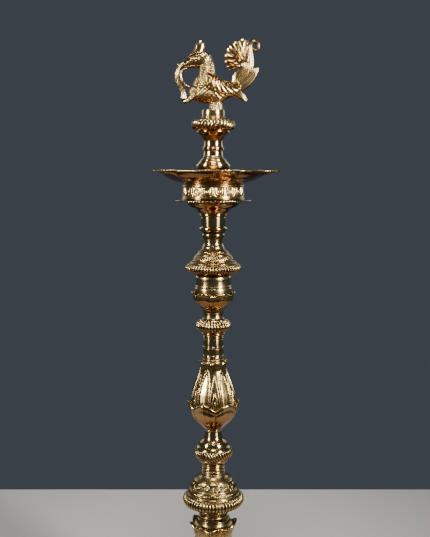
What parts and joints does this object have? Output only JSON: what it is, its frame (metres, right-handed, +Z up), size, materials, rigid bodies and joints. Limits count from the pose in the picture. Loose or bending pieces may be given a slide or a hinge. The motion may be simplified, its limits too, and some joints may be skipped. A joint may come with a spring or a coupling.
{
  "type": "standing oil lamp",
  "caption": "Tall turned brass oil lamp: domed foot, ringed and petalled stem, shallow dish with pointed wick spouts, and a cast bird finial with a fanned tail.",
  "frame": {"origin": "centre of the flat ring that the foot stands on", "axes": "+Z up the stem, -X the way the bird faces, -Y towards the viewer"},
  "size_m": [0.208, 0.208, 0.914],
  "materials": {
    "turned_brass": "turned and polished, with darkened grooves",
    "cast_brass": "sand cast, chased and polished, dark in the recesses",
    "stud_brass": "cut thread, dull",
    "steel": "plain, dull"
  },
  "bodies": {
    "base": {"base_foot": "cast_brass", "base_dome": "cast_brass", "base_washer": "steel", "base_nut": "steel", "base_bolt": "stud_brass", "base_knop": "turned_brass"},
    "lower_screw": {"lower_stud": "stud_brass"},
    "lower_stem": {"lower_lotus_cup": "cast_brass", "lower_bell": "cast_brass"},
    "middle_screw": {"middle_stud": "stud_brass"},
    "middle_stem": {"rope_knop": "turned_brass", "leaf_bulb": "cast_brass", "stem_tube": "turned_brass"},
    "upper_screw": {"upper_stud": "stud_brass"},
    "upper_stem": {"gadroon_collar": "turned_brass", "upper_lotus_cup": "cast_brass", "upper_bell": "cast_brass", "stem_neck": "turned_brass"},
    "saucer_screw": {"saucer_stud": "stud_brass"},
    "bowl": {"drip_saucer": "turned_brass", "drum": "cast_brass", "oil_dish": "cast_brass"},
    "pedestal_screw": {"pedestal_stud": "stud_brass"},
    "pedestal": {"pedestal_foot": "turned_brass", "beaded_collar": "turned_brass"},
    "finial_screw": {"finial_stud": "stud_brass"},
    "finial": {"bird_finial": "cast_brass"}
  },
  "joints": [
    {"name": "lower_lift", "type": "slide", "parent": "base", "child": "lower_screw", "axis": [0, 0, 1], "range_m": [0, 0.008]},
    {"name": "lower_turn", "type": "hinge", "parent": "lower_screw", "child": "lower_stem", "pos_m": [0, 0, 0.15], "axis": [0, 0, 1], "range_deg": [0, 1440]},
    {"name": "middle_lift", "type": "slide", "parent": "lower_stem", "child": "middle_screw", "axis": [0, 0, 1], "range_m": [0, 0.008]},
    {"name": "middle_turn", "type": "hinge", "parent": "middle_screw", "child": "middle_stem", "pos_m": [0, 0, 0.279], "axis": [0, 0, 1], "range_deg": [0, 1440]},
    {"name": "upper_lift", "type": "slide", "parent": "middle_stem", "child": "upper_screw", "axis": [0, 0, 1], "range_m": [0, 0.008]},
    {"name": "upper_turn", "type": "hinge", "parent": "upper_screw", "child": "upper_stem", "pos_m": [0, 0, 0.478], "axis": [0, 0, 1], "range_deg": [0, 1440]},
    {"name": "saucer_lift", "type": "slide", "parent": "upper_stem", "child": "saucer_screw", "axis": [0, 0, 1], "range_m": [0, 0.008]},
    {"name": "saucer_turn", "type": "hinge", "parent": "saucer_screw", "child": "bowl", "pos_m": [0, 0, 0.661], "axis": [0, 0, 1], "range_deg": [0, 1440]},
    {"name": "pedestal_lift", "type": "slide", "parent": "bowl", "child": "pedestal_screw", "axis": [0, 0, 1], "range_m": [0, 0.008]},
    {"name": "pedestal_turn", "type": "hinge", "parent": "pedestal_screw", "child": "pedestal", "pos_m": [0, 0, 0.7095], "axis": [0, 0, 1], "range_deg": [0, 1440]},
    {"name": "finial_lift", "type": "slide", "parent": "pedestal", "child": "finial_screw", "axis": [0, 0, 1], "range_m": [0, 0.008]},
    {"name": "finial_turn", "type": "hinge", "parent": "finial_screw", "child": "finial", "pos_m": [0, 0, 0.801], "axis": [0, 0, 1], "range_deg": [0, 1440]}
  ],
  "couplings": [
    {"joint": "lower_lift", "follows": "lower_turn", "m_per_rad": 0.0003183},
    {"joint": "middle_lift", "follows": "middle_turn", "m_per_rad": 0.0003183},
    {"joint": "upper_lift", "follows": "upper_turn", "m_per_rad": 0.0003183},
    {"joint": "saucer_lift", "follows": "saucer_turn", "m_per_rad": 0.0003183},
    {"joint": "pedestal_lift", "follows": "pedestal_turn", "m_per_rad": 0.0003183},
    {"joint": "finial_lift", "follows": "finial_turn", "m_per_rad": 0.0003183}
  ]
}
